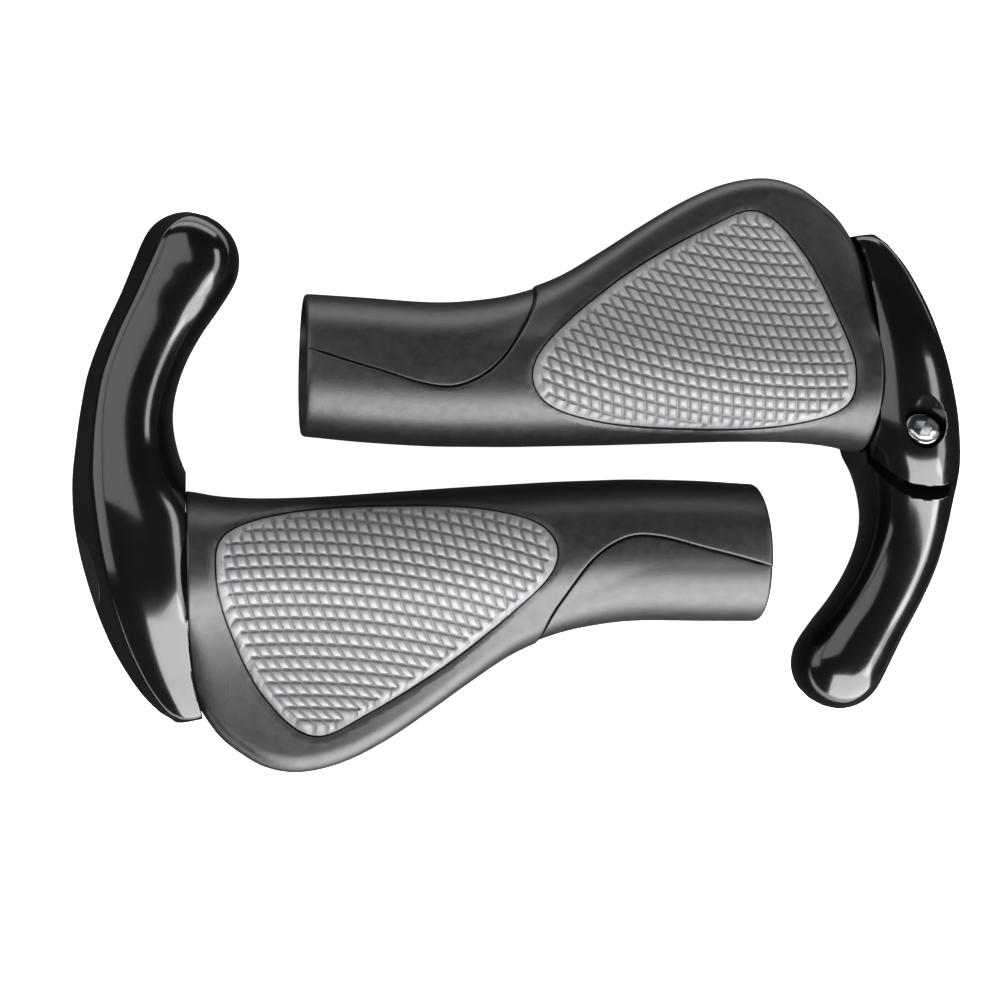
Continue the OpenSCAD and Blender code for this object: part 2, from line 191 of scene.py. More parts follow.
def height(u, v):
    """Height of the top surface at u, v."""
    c1, r1, c2, r2, a1, a2 = section(u)
    v1, v2 = c1 + r1 * np.cos(a1), c2 + r2 * np.cos(a2)
    h = v2 - v1
    f = np.clip((v - v1) / h, 0, 1)
    blend = cubic(r1 * np.sin(a1), r2 * np.sin(a2), -1 / np.tan(a1), -1 / np.tan(a2), h, f)
    tube = np.sqrt(np.maximum(r1**2 - (v - c1)**2, 0))
    edge = np.sqrt(np.maximum(r2**2 - (v - c2)**2, 0))
    return np.where(v < v1, tube, np.where(v > v2, edge, blend))


def limits(u):
    """Lowest and highest v of the section at u."""
    return at(GRIP, u, 1) - at(GRIP, u, 2), at(GRIP, u, 3) + at(GRIP, u, 4)


def surface(u, t):
    """Point at u and t round the top half: 0 on the horn side, 1 at the wing's edge."""
    low, high = limits(u)
    v = (low + high) / 2 - (high - low) / 2 * np.cos(math.pi * t)
    side = np.where((t < 0) | (t > 1), -1, 1)
    return np.stack([u, v, side * height(u, v)], axis=-1)


def t_of(u, v):
    """The t at which the surface has a given u and v."""
    low, high = limits(u)
    return np.arccos(np.clip(((low + high) / 2 - v) / ((high - low) / 2), -1, 1)) / math.pi


def in_ut(plan):
    """Rows of (u, v) as rows of (u, t)."""
    return np.stack([plan[:, 0], t_of(plan[:, 0], plan[:, 1])], axis=1)


def on_surface(curve):
    """The surface points of (u, t) rows."""
    return surface(curve[:, 0], curve[:, 1])


def tangents(u, t):
    """How the surface point moves with u and with t."""
    du, dt = 0.02, 0.001
    along = (surface(u + du, t) - surface(u - du, t)) / (2 * du)
    across = (surface(u, t + dt) - surface(u, t - dt)) / (2 * dt)
    return along, across


def normals(u, t):
    along, across = tangents(u, t)
    n = np.cross(along, across)
    return n / np.linalg.norm(n, axis=-1)[..., None]


def moved_in(curve, distance, sign, closed):
    """A curve of (u, t) rows moved along the surface by a distance, to its left or right."""
    u, t = curve.T
    p = on_surface(curve)
    if closed:
        run = np.roll(p, -1, axis=0) - np.roll(p, 1, axis=0)
    else:
        run = np.gradient(p, axis=0)
    run /= np.linalg.norm(run, axis=1)[:, None]
    along, across = tangents(u, t)
    aside = sign * np.cross(normals(u, t), run) * distance
    a, b, c = (along**2).sum(1), (along * across).sum(1), (across**2).sum(1)
    x, y = (aside * along).sum(1), (aside * across).sum(1)
    det = a * c - b * b
    return np.stack([u + (c * x - b * y) / det, t + (a * y - b * x) / det], axis=1)


def cut_at_seam(curve):
    """The part of an open curve up to the wing's edge, ending exactly on it."""
    over = np.nonzero(curve[:, 1] >= 1 - 1e-9)[0]
    if not len(over):
        return curve
    k = over[0]
    a, b = curve[k - 1], curve[k]
    f = (1 - a[1]) / (b[1] - a[1])
    return np.vstack([curve[:k], a + f * (b - a)])


# ---------------------------------------------------------------- trimmed shells

T_SCALE = 50.0     # stretches t to about millimetres for the triangulation
RINGS = 4          # steps in a rounded edge
SEAM = 1e-6        # how near to 0 or 1 t counts as on the seam


def inside(polygon, x, y):
    """Which points lie inside a polygon."""
    found = np.zeros(x.shape, bool)
    for (x0, y0), (x1, y1) in zip(polygon, np.roll(polygon, -1, axis=0)):
        if y0 == y1:
            continue
        crosses = ((y0 > y) != (y1 > y)) & (x < (x1 - x0) * (y - y0) / (y1 - y0) + x0)
        found ^= crosses
    return found


def distance_to(points, line, closed):
    """Distance from each point to a line of points."""
    starts = line if closed else line[:-1]
    ends = np.roll(line, -1, axis=0) if closed else line[1:]
    best = np.full(len(points), 1e9)
    for a, b in zip(starts, ends):
        ab = b - a
        f = np.clip(((points - a) @ ab) / max(ab @ ab, 1e-12), 0, 1)
        best = np.minimum(best, ((points - a - f[:, None] * ab)**2).sum(1))
    return np.sqrt(best)


def rounding_rings(radius):
    """Distances from an edge at which a rounded edge needs points."""
    return [radius * (1 - math.cos(math.radians(90 * k / RINGS))) for k in range(RINGS + 1)]


class Sheet:
    """Collects points and edges in u, t and triangulates them."""

    def __init__(self):
        self.points, self.edges, self.rims = [], [], []

    def line(self, curve, closed):
        """Points that stay joined one to the next."""
        start = len(self.points)
        self.points += [tuple(p) for p in curve]
        n = len(curve)
        self.edges += [(start + k, start + k + 1) for k in range(n - 1)]
        if closed:
            self.edges.append((start + n - 1, start))

    def rim(self, curve, radius, sign, closed, finish=lambda c: c):
        """An edge of the sheet, rounded over by radius, with its rings of points."""
        for d in rounding_rings(radius):
            ring = finish(moved_in(curve, d, sign, closed) if d else curve)
            self.line(ring, closed)
            if not d:
                self.rims.append((on_surface(ring), radius, closed))

    def grid(self, u, t, clear=0.35, edges=()):
        """Free points, left out where they come near a rim."""
        p = surface(u, t)
        keep = np.ones(len(u), bool)
        for line, radius, closed in self.rims:
            keep &= distance_to(p, line, closed) > radius + clear
        index = np.full(len(u), -1)
        index[keep] = np.arange(keep.sum()) + len(self.points)
        self.points += [tuple(q) for q in np.stack([u, t], axis=1)[keep]]
        self.edges += [(index[a], index[b]) for a, b in edges if index[a] >= 0 and index[b] >= 0]

    def triangles(self, keep):
        """(u, t) of the vertices and the triangles whose middles pass the keep test."""
        flat = [Vector((u, t * T_SCALE)) for u, t in self.points]
        verts, _, faces, *_ = delaunay_2d_cdt(flat, self.edges, [], 0, 1e-5)
        v = np.array([(p.x, p.y / T_SCALE) for p in verts])
        f = np.array([x for x in faces if len(x) == 3])
        lowest, highest = v[f][:, :, 1].min(axis=1), v[f][:, :, 1].max(axis=1)
        f = f[(highest > SEAM) & (lowest < 1 - SEAM)]
        middle = v[f].mean(axis=1)
        f = f[keep(middle[:, 0], middle[:, 1])]
        used = np.unique(f)
        renumber = np.zeros(len(v), int)
        renumber[used] = np.arange(len(used))
        return v[used], renumber[f]

    def drop(self, p):
        """How far the rounded rims lower each surface point."""
        deepest = np.zeros(len(p))
        for line, radius, closed in self.rims:
            d = np.minimum(distance_to(p, line, closed), radius)
            deepest = np.maximum(deepest, radius - np.sqrt(radius**2 - (radius - d)**2))
        return deepest


def shell(sheet, keep, thickness, sink=0.0, relief=None, both_faces=True):
    """Vertices and faces of a solid sheet that follows the grip's surface."""
    ut, f = sheet.triangles(keep)
    u, t = ut[:, 0], ut[:, 1]
    p, n = surface(u, t), normals(u, t)
    n[:, 0] = 0
    n /= np.linalg.norm(n, axis=1)[:, None]
    depth = np.maximum(sheet.drop(p), relief(p) if relief else 0) + sink
    on_seam = (t < SEAM) | (t > 1 - SEAM)
    if both_faces:
        n[on_seam, 2] = 0
        n[on_seam] /= np.linalg.norm(n[on_seam], axis=1)[:, None]
        p[on_seam, 2] = 0
    a, b, c = p[f[:, 0]], p[f[:, 1]], p[f[:, 2]]
    out = (np.cross(b - a, c - a) * n[f[:, 0]]).sum(1) > 0
    f[~out] = f[~out][:, ::-1]
    top, under = p - n * depth[:, None], p - n * (thickness + sink)
    if both_faces:
        flip = np.array((1, 1, -1))
        other = np.arange(len(p)) + len(p)
        other[on_seam] = np.nonzero(on_seam)[0]
        top, under = np.vstack([top, top * flip]), np.vstack([under, under * flip])
        depth = np.concatenate([depth, depth])
        f = np.vstack([f, other[f][:, ::-1]])
    count = len(top)
    pairs = np.vstack([f[:, [0, 1]], f[:, [1, 2]], f[:, [2, 0]]])
    known = {(a, b) for a, b in pairs.tolist()}
    open_edges = [(a, b) for a, b in known if (b, a) not in known]
    faces = f.tolist() + (f[:, ::-1] + count).tolist()
    faces += [(b, a, a + count, b + count) for a, b in sorted(open_edges)]
    return np.vstack([top, under]), faces, np.concatenate([depth - sink, np.zeros(count)])


def end_back(radius):
    """How far the grip's end face lies back from the end plane at a radius."""
    return np.where(radius < END_FACE[1, 0], 0, at(END_FACE, np.clip(radius, 0, 50), 1))


def end_curve(t):
    """The edge where the grip's skin meets its end face."""
    u = np.full(t.shape, GRIP_LENGTH)
    for _ in range(END_PASSES):
        p = surface(u, t)
        u = GRIP_LENGTH - end_back(np.hypot(p[:, 1], p[:, 2]))
    return np.stack([u, t], axis=1)


def skin_grid():
    """The free points of the cover and the panel."""
    u = np.arange(0, GRIP_LENGTH + 0.1, 1.0)
    t = np.linspace(0, 1, 91)
    uu, tt = np.meshgrid(u, t, indexing="ij")
    return uu.ravel(), tt.ravel()


def evenly(curve, step):
    """A curve of (u, t) rows with its points a step apart along the surface."""
    p = on_surface(curve)
    run = np.concatenate([[0], np.cumsum(np.linalg.norm(np.diff(p, axis=0), axis=1))])
    places = np.linspace(0, run[-1], int(run[-1] / step) + 2)
    return np.stack([np.interp(places, run, curve[:, k]) for k in (0, 1)], axis=1)


def groove_curve():
    """The parting line between the cover and the neck panel, up to the wing's edge."""
    plan = curve_through(GROOVE, 400, closed=False)
    high = limits(plan[:, 0])[1]
    plan = plan[:np.nonzero(plan[:, 1] > high)[0][0] + 1]
    curve = in_ut(plan)
    curve[-1, 1] = 1.0
    return evenly(curve, 0.55)


groove_ut = groove_curve()
pad_outline = curve_through(PAD, 26, closed=True)
window_ut = in_ut(grown(pad_outline, WINDOW_GAP))
end_ut = end_curve(np.linspace(0, 1, 170))


def neck_polygon(curve):
    """The panel's side of a groove curve, as a polygon in u and t."""
    far_u, far_t = -20, 1.2
    return np.vstack([curve, (curve[-1, 0], far_t), (far_u, far_t), (far_u, curve[0, 1])])


def from_mouth(curve):
    """The part of a groove curve past the mouth, starting exactly on it."""
    k = np.nonzero(curve[:, 0] > 0)[0][0]
    a, b = curve[k - 1], curve[k]
    f = -a[0] / (b[0] - a[0])
    return np.vstack([a + f * (b - a), curve[k:]])


def groove_ends(curve):
    """A groove curve from the mouth to the wing's edge."""
    return from_mouth(cut_at_seam(curve))


def mouth_line(low, high, count):
    t = np.linspace(low, high, count)
    return np.stack([np.zeros(count), t], axis=1)


def cover_shape():
    """The rubber cover, with its two pad windows and without the neck panel's region."""
    s = Sheet()
    s.rim(window_ut, WINDOW_ROUND, -1, True)
    edge = groove_ends(groove_ut)
    s.rim(edge, GROOVE_ROUND, -1, False, cut_at_seam)
    s.rim(mouth_line(0, edge[0, 1], 90), MOUTH_ROUND, -1, False)
    s.rim(end_ut, COVER_ROUND, 1, False)
    s.grid(*skin_grid())
    panel = neck_polygon(edge)

    def keep(u, t):
        past_end = u > np.interp(t, end_ut[:, 1], end_ut[:, 0])
        return (u > 0) & ~past_end & ~inside(window_ut, u, t) & ~inside(panel, u, t)

    return shell(s, keep, COVER_T, SKIN_TRIM)


def panel_shape():
    """The neck panel, which lies a little lower than the cover."""
    s = Sheet()
    opening = smooth_step((groove_ut[:, 0] - PANEL_START) / PANEL_OPENING)
    gap = CLOSED_GAP + (PANEL_GAP - CLOSED_GAP) * opening
    edge = groove_ends(cut_at_seam(moved_in(groove_ut, gap[:, None], 1, False)))
    s.rim(edge, PANEL_ROUND, 1, False, cut_at_seam)
    s.rim(mouth_line(edge[0, 1], 1, 60), MOUTH_ROUND, -1, False)
    s.grid(*skin_grid())
    panel = neck_polygon(edge)
    return shell(s, lambda u, t: (u > 0) & inside(panel, u, t), COVER_T - PANEL_DROP,
                 PANEL_DROP + SKIN_TRIM)


# ---------------------------------------------------------------- the pads' block pattern

A_PHASE = (0.350, -0.0010, 0.00002)      # rows of grooves across v, per millimetre
A_BEND, A_LEVEL = 0.00101, 117.0         # their bend along u, and where they run level
B_PITCH = 2.64
B_LEAN = (0.246, 0.0046, 0.00009)        # lean of the second family, growing toward the wing
NEWTON_STEPS = 25
A_DEPTH, B_DEPTH = 0.62, 0.50
A_HALF, B_HALF = 0.145, 0.200            # half widths of the grooves, in periods
FLOOR_SHARE, WALL_SHARE = 0.45, 0.8      # a groove's floor and wall, in half widths
PATTERN_BORDER, PATTERN_FADE = 1.45, 0.55
CROSSING_DEPTH = 0.08                    # extra depth where two grooves cross
PAD_ROUND, PAD_TRIM = 0.45, 0.1


def phase_a(u, v):
    return A_PHASE[0] * v + A_PHASE[1] * v**2 + A_PHASE[2] * v**3 - A_BEND * (u - A_LEVEL)**2


def phase_b(u, v):
    return (u + B_LEAN[0] * v + B_LEAN[1] * v**2 + B_LEAN[2] * v**3) / B_PITCH


def from_phases(a, b):
    """The plan point at two phases, by Newton's method."""
    u = B_PITCH * b
    v = a / A_PHASE[0]
    for _ in range(NEWTON_STEPS):
        fa, fb = phase_a(u, v) - a, phase_b(u, v) - b
        a_u = -2 * A_BEND * (u - A_LEVEL)
        a_v = A_PHASE[0] + 2 * A_PHASE[1] * v + 3 * A_PHASE[2] * v**2
        b_u = 1 / B_PITCH
        b_v = (B_LEAN[0] + 2 * B_LEAN[1] * v + 3 * B_LEAN[2] * v**2) / B_PITCH
        det = a_u * b_v - a_v * b_u
        u = np.clip(u - (fa * b_v - fb * a_v) / det, 30, 150)
        v = np.clip(v - (fb * a_u - fa * b_u) / det, -25, 50)
    return u, v


def groove_profile(phase, half):
    """1 in the middle of a groove, falling to 0 at its edges."""
    off = np.abs(phase - np.round(phase))
    return 1 - smooth_step((off - FLOOR_SHARE * half) / (WALL_SHARE * half))


pad_plan = grown(pad_outline, -PAD_TRIM)
pad_ut = in_ut(pad_plan)


def pad_relief(p):
    """Depth of the grooves at points of the pad, smooth near its border."""
    u, v = p[:, 0], p[:, 1]
    a = groove_profile(phase_a(u, v), A_HALF)
    b = groove_profile(phase_b(u, v), B_HALF)
    border = distance_to(p, on_surface(pad_ut), True)
    fade = smooth_step((border - PATTERN_BORDER) / PATTERN_FADE)
    return fade * (np.maximum(A_DEPTH * a, B_DEPTH * b) + CROSSING_DEPTH * a * b)


def pad_shape():
    """A pad with its moulded blocks, on a grid of points that follows the grooves."""
    s = Sheet()
    s.rim(pad_ut, PAD_ROUND, 1, True)
    for inset in (PATTERN_BORDER - 0.05, PATTERN_BORDER + 0.2, PATTERN_BORDER + PATTERN_FADE):
        s.line(moved_in(pad_ut, inset, 1, True), True)

    def samples(low, high, half):
        """Phases at the edges of each groove's floor and walls, and between the grooves."""
        inner = (-1.25, -0.85, -0.45, 0.45, 0.85, 1.25)
        offsets = [half * x for x in inner] + [0.5]
        return np.array([k + x for k in range(low, high) for x in offsets])

    a = samples(-6, 19, A_HALF)
    b = samples(17, 56, B_HALF)
    aa, bb = np.meshgrid(a, b, indexing="ij")
    u, v = from_phases(aa.ravel(), bb.ravel())
    index = np.arange(len(u)).reshape(aa.shape)
    edges = np.vstack([np.stack([index[:-1].ravel(), index[1:].ravel()], axis=1),
                       np.stack([index[:, :-1].ravel(), index[:, 1:].ravel()], axis=1)])
    ok = inside(pad_plan, u, v)
    p = surface(u[ok], t_of(u[ok], v[ok]))
    ok[ok] = distance_to(p, on_surface(pad_ut), True) > PATTERN_BORDER + 0.1
    renumber = np.full(len(u), -1)
    renumber[ok] = np.arange(ok.sum())
    edges = renumber[edges]
    edges = edges[(edges >= 0).all(axis=1)]
    s.grid(u[ok], t_of(u[ok], v[ok]), 0, edges.tolist())
    return shell(s, lambda u, t: inside(pad_ut, u, t), PAD_T, relief=pad_relief, both_faces=False)


# ---------------------------------------------------------------- Blender meshes


def make_mesh(name, verts, faces):
    """A checked mesh."""
    mesh = bpy.data.meshes.new(name)
    mesh.from_pydata([tuple(v) for v in verts], [], [tuple(f) for f in faces])
    mesh.validate()
    return mesh


def as_object(name, mesh):
    obj = bpy.data.objects.new(name, mesh)
    bpy.context.scene.collection.objects.link(obj)
    return obj


def mesh_now(obj):
    """The mesh of an object with its modifiers applied."""
    bpy.context.view_layer.update()
    deps = bpy.context.evaluated_depsgraph_get()
    return bpy.data.meshes.new_from_object(obj.evaluated_get(deps))


def evaluated(obj):
    """The same, with the object removed."""
    mesh = mesh_now(obj)
    bpy.data.objects.remove(obj)
    return mesh


def lathe(profile, sides):
    """A closed solid from (radius, height) points turned about the z axis."""
    verts, faces, rings = [], [], []
    angles = [2 * math.pi * k / sides for k in range(sides)]
    for r, z in profile:
        if r < 1e-6:
            rings.append([len(verts)])
            verts.append((0, 0, z))
        else:
            rings.append(list(range(len(verts), len(verts) + sides)))
            verts += [(r * math.cos(a), r * math.sin(a), z) for a in angles]
    closed = profile[0][0] > 1e-6
    for lower, upper in zip(rings, rings[1:] + ([rings[0]] if closed else [])):
        for k in range(sides):
            j = (k + 1) % sides
            if len(lower) == 1 and len(upper) > 1:
                faces.append((lower[0], upper[j], upper[k]))
            elif len(upper) == 1 and len(lower) > 1:
                faces.append((lower[k], lower[j], upper[0]))
            elif len(lower) > 1:
                faces.append((lower[k], lower[j], upper[j], upper[k]))
    return verts, faces


def rounded_profile(points, radius):
    """A profile whose corners are rounded, except the first and the last."""
    steps = 5
    done = [points[0]]
    for a, b, c in zip(points, points[1:], points[2:]):
        a, b, c = (np.array(p, float) for p in (a, b, c))
        reach = min(radius, np.linalg.norm(a - b) / 2, np.linalg.norm(c - b) / 2)
        start = b + (a - b) / np.linalg.norm(a - b) * reach
        end = b + (c - b) / np.linalg.norm(c - b) * reach
        for k in range(steps + 1):
            f = k / steps
            done.append(tuple((1 - f)**2 * start + 2 * f * (1 - f) * b + f * f * end))
    done.append(points[-1])
    return done


def solid(name, verts, faces, matrix=Matrix.Identity(4)):
    """A closed solid whose faces all look outward."""
    mesh = make_mesh(name, verts, faces)
    mesh.transform(matrix)
    bm = bmesh.new()
    bm.from_mesh(mesh)
    bmesh.ops.recalc_face_normals(bm, faces=bm.faces)
    bm.to_mesh(mesh)
    bm.free()
    return as_object(name, mesh)


def box_solid(name, low, high, matrix=Matrix.Identity(4)):
    corners = [(x, y, z) for z in (low[2], high[2]) for y in (low[1], high[1])
               for x in (low[0], high[0])]
    faces = [(0, 2, 3, 1), (4, 5, 7, 6), (0, 1, 5, 4), (2, 6, 7, 3), (0, 4, 6, 2), (1, 3, 7, 5)]
    return solid(name, corners, faces, matrix)


def combine(obj, operation, *others):
    """Cuts an object with solids, or keeps what it shares with them, and removes them."""
    for other in others:
        step = obj.modifiers.new("combine", "BOOLEAN")
        step.operation = operation
        step.solver = "EXACT"
        step.object = other
    mesh = mesh_now(obj)
    obj.modifiers.clear()
    obj.data = mesh
    for other in others:
        bpy.data.objects.remove(other)


def add_bevel(obj, width_mm):
    """Rounds an object's sharp edges."""
    bevel = obj.modifiers.new("edges", "BEVEL")
    bevel.width = width_mm
    bevel.segments = 2
    bevel.limit_method = "ANGLE"
    bevel.angle_limit = math.radians(42)
    bevel.miter_outer = "MITER_ARC"


TO_BAR = Matrix.Rotation(math.radians(90), 4, "Y")      # turns +z to +u


def along_bar(u):
    return Matrix.Translation((u, 0, 0)) @ TO_BAR


def at_bolt(s=0.0):
    """The bolt's frame, its +z outward along the bolt, s along it."""
    return (Matrix.Translation((GRIP_LENGTH + BOLT_STATION, 0, 0))
            @ Matrix.Rotation(math.pi + BOLT_LEAN, 4, "X")
            @ Matrix.Translation((0, BOLT_OFFSET, s)))


# ---------------------------------------------------------------- the bar end

BAR_SIDES = 120
BAR_STATIONS = 190
FACET_AT = math.radians(28)
FACET_R = 0.953
FACET_REACH = math.radians(60)
NO_FACET = 9.0
OUTLINE_TRIM = 0.998   # keeps the smooth outline inside the CAD's facets
SOFT_CREASE = 160.0
OVAL_POWER = 2.3
TAIL_LENGTH, HORN_TIP_START, BAR_END_LENGTH = 6.6, 109, 119.6   # along the bar end, as in its table


def unit_r(a):
    """Unit outline of the bar end: a full oval with flat facets and softened creases."""
    oval = (np.abs(np.cos(a))**OVAL_POWER + np.abs(np.sin(a))**OVAL_POWER)**(-1 / OVAL_POWER)
    off = np.abs(np.abs(a) - FACET_AT)
    facet = np.where(off < FACET_REACH, FACET_R / np.cos(np.minimum(off, FACET_REACH)), NO_FACET)
    apart = np.abs(oval - np.minimum(facet, 2))
    softened = np.log1p(np.exp(-SOFT_CREASE * apart)) / SOFT_CREASE
    return OUTLINE_TRIM * np.minimum(oval, facet) - softened


def bar_end_solid():
    """The bar end's outside, before anything is cut from it."""
    s = np.concatenate([np.linspace(0, TAIL_LENGTH, 24)[:-1],
                        np.linspace(TAIL_LENGTH, HORN_TIP_START, BAR_STATIONS)[:-1],
                        np.linspace(HORN_TIP_START, BAR_END_LENGTH, 30)])
    e, v, turn, half_w, half_h, lift = (at(BAR_END, s, k) for k in range(1, 7))
    turn = np.radians(turn)
    a = np.linspace(-math.pi, math.pi, BAR_SIDES, endpoint=False)
    r = unit_r(a)
    x = half_w[:, None] * (r * np.cos(a))[None]
    z = lift[:, None] + half_h[:, None] * (r * np.sin(a))[None]
    rings = np.stack([GRIP_LENGTH + e[:, None] + x * np.cos(turn)[:, None],
                      v[:, None] - x * np.sin(turn)[:, None], z], axis=-1)
    m, n = rings.shape[:2]
    verts = rings.reshape(-1, 3).tolist()
    faces = [(j * n + i, j * n + (i + 1) % n, (j + 1) * n + (i + 1) % n, (j + 1) * n + i)
             for j in range(m - 1) for i in range(n)]
    for ring, flip in ((0, True), (m - 1, False)):
        middle = rings[ring].mean(axis=0)
        verts.append(middle.tolist())
        c = len(verts) - 1
        for i in range(n):
            p, q = ring * n + i, ring * n + (i + 1) % n
            faces.append((c, q, p) if flip else (c, p, q))
    return solid("bar_end", verts, faces)


def dome_cutter():
    """What lies inside the grip's end face, out by the end gap."""
    radii = np.concatenate([[0], np.linspace(18, 50, 40)])
    profile = [(r, -end_back(np.array(r)).item()) for r in radii] + [(50, -30), (0, -30)]
    return solid("dome", *lathe(profile, 180), along_bar(GRIP_LENGTH + END_GAP))


def cylinder_cutter(r, low, high, matrix, sides=128):
    return solid("hole", *lathe([(0, low), (r, low), (r, high), (0, high)], sides), matrix)


def bar_end_mesh():
    """The bar end, cut for the collar, the cap, the slot and the bolt."""
    obj = bar_end_solid()
    far = 20
    collar_end = GRIP_LENGTH + COLLAR_LENGTH
    combine(
        obj, "DIFFERENCE", dome_cutter(),
        cylinder_cutter(RING_BORE_R, GRIP_LENGTH - 3, collar_end + RING_SPARE, along_bar(0)),
        cylinder_cutter(CAP_R, collar_end, GRIP_LENGTH + PAST_ALL, along_bar(0)),
        box_solid("slot", (-30, SLOT_ROOT - BOLT_OFFSET, SLOT_S - SLOT_W), (30, 30, SLOT_S),
                  at_bolt()),
        cylinder_cutter(CLEARANCE_R, SLOT_S - SLOT_W - 1, far, at_bolt(), 64),
        cylinder_cutter(COUNTERBORE_R, SEAT_S, far, at_bolt(), 96),
        cylinder_cutter(TIP_HOLE_R, INSERT_S - INSERT_LENGTH - TIP_ROOM, INSERT_S, at_bolt(), 64),
        cylinder_cutter(INSERT_R, INSERT_S - INSERT_LENGTH, INSERT_S + 2, at_bolt(), 64))
    add_bevel(obj, 0.28)
    return evaluated(obj)


# ---------------------------------------------------------------- cap, washer and bolt


def end_cap_mesh():
    """A round cap, flush with the bar end's outer side and hollow behind."""
    inner = GRIP_LENGTH + COLLAR_LENGTH + 1
    cap = cylinder_cutter(CAP_R - CAP_FIT, inner, GRIP_LENGTH + PAST_ALL, along_bar(0))
    combine(cap, "INTERSECT", bar_end_solid())
    combine(cap, "DIFFERENCE",
            cylinder_cutter(CAP_R - CAP_WALL, inner - 3, inner + CAP_TOP, along_bar(0)))
    add_bevel(cap, 0.3)
    return evaluated(cap)


def washer_mesh():
    bore, r, t = WASHER_BORE_R, WASHER_R, WASHER_T
    ring = [((bore + r) / 2, 0), (bore, 0), (bore, t), (r, t), (r, 0), ((bore + r) / 2, 0)]
    profile = rounded_profile(ring, 0.15)[:-1]
    return evaluated(solid("washer", *lathe(profile, 96), at_bolt(SEAT_S + SEAT_GAP)))


def bolt_mesh():
    """A socket head bolt with a rounded rim, thread ridges and a hexagon socket."""
    profile = [(0, -BOLT_LENGTH), (SHANK_R - POINT, -BOLT_LENGTH), (SHANK_R, -BOLT_LENGTH + POINT)]
    for k in range(THREAD_RIDGES):
        z = -BOLT_LENGTH + THREAD_PITCH + THREAD_PITCH * k
        profile += [(SHANK_R, z), (SHANK_R - THREAD_DEPTH, z + THREAD_PITCH * 0.5)]
    profile += [(SHANK_R, -BOLT_LENGTH + THREAD_PITCH + THREAD_PITCH * THREAD_RIDGES), (SHANK_R, 0)]
    profile += rounded_profile([(SHANK_R, 0), (HEAD_R, 0), (HEAD_R, HEAD_H), (0, HEAD_H)], 0.4)[1:]
    obj = solid("bolt", *lathe(profile, 96))
    corner = SOCKET_AF / math.sqrt(3)
    hexagon = solid("hexagon", *lathe([(0, 0), (corner, 0), (corner, 9), (0, 9)], 6),
                    Matrix.Translation((0, 0, HEAD_H - SOCKET_DEPTH)))
    lead_in = solid("lead", *lathe([(0, 0), (corner + 0.5, 0.6), (2, 3), (0, 3)], 96),
                    Matrix.Translation((0, 0, HEAD_H - 0.3)))
    combine(obj, "DIFFERENCE", hexagon, lead_in)
    add_bevel(obj, 0.08)
    mesh = evaluated(obj)
    mesh.transform(at_bolt(SEAT_S + WASHER_T + 2 * SEAT_GAP))
    return mesh


# ---------------------------------------------------------------- placing


def grip_frame(side):
    """Matrix from a grip's own frame in millimetres to the row frame in metres."""
    mount = next(m for m in frame["record"]["mounts"] if m["name"] == side + "_bar_bore")
    u = -Vector(mount["axis"]).normalized()
    v = Vector((-u.y, u.x, 0))
    w = Vector((0, 0, 1 if side == "left" else -1))
    mouth = Vector(mount["pos_m"]) - u * (BORE_START + BORE_END) / 2 * MM
    turn = Matrix((u, v, w)).transposed().to_4x4()
    return Matrix.Translation(mouth) @ turn @ Matrix.Scale(MM, 4)


def place(mesh, side, node, body, material, sharp=35.0, weighted=False):
    """A copy of a mesh on one grip, standing for a CAD node."""
    made = mesh.copy()
    matrix = grip_frame(side)
    made.transform(matrix)
    if matrix.determinant() < 0:
        made.flip_normals()
    made.shade_smooth()
    made.set_sharp_from_angle(angle=math.radians(sharp))
    made.materials.clear()
    made.materials.append(material)
    if weighted:
        obj = as_object("shaded", made)
        obj.modifiers.new("shade", "WEIGHTED_NORMAL").keep_sharp = True
        made = evaluated(obj)
    obj = as_object(f"{side}_{node}_visual", made)
    made.name = obj.name
    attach(obj, f"{side}_{body}")
    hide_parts(f"{side}_{node}")


def turned_over(mesh):
    """A mesh mirrored through the plane of the handlebar's axis."""
    made = mesh.copy()
    made.transform(Matrix.Scale(-1, 4, (0, 0, 1)))
    made.flip_normals()
    return made


# ---------------------------------------------------------------- materials


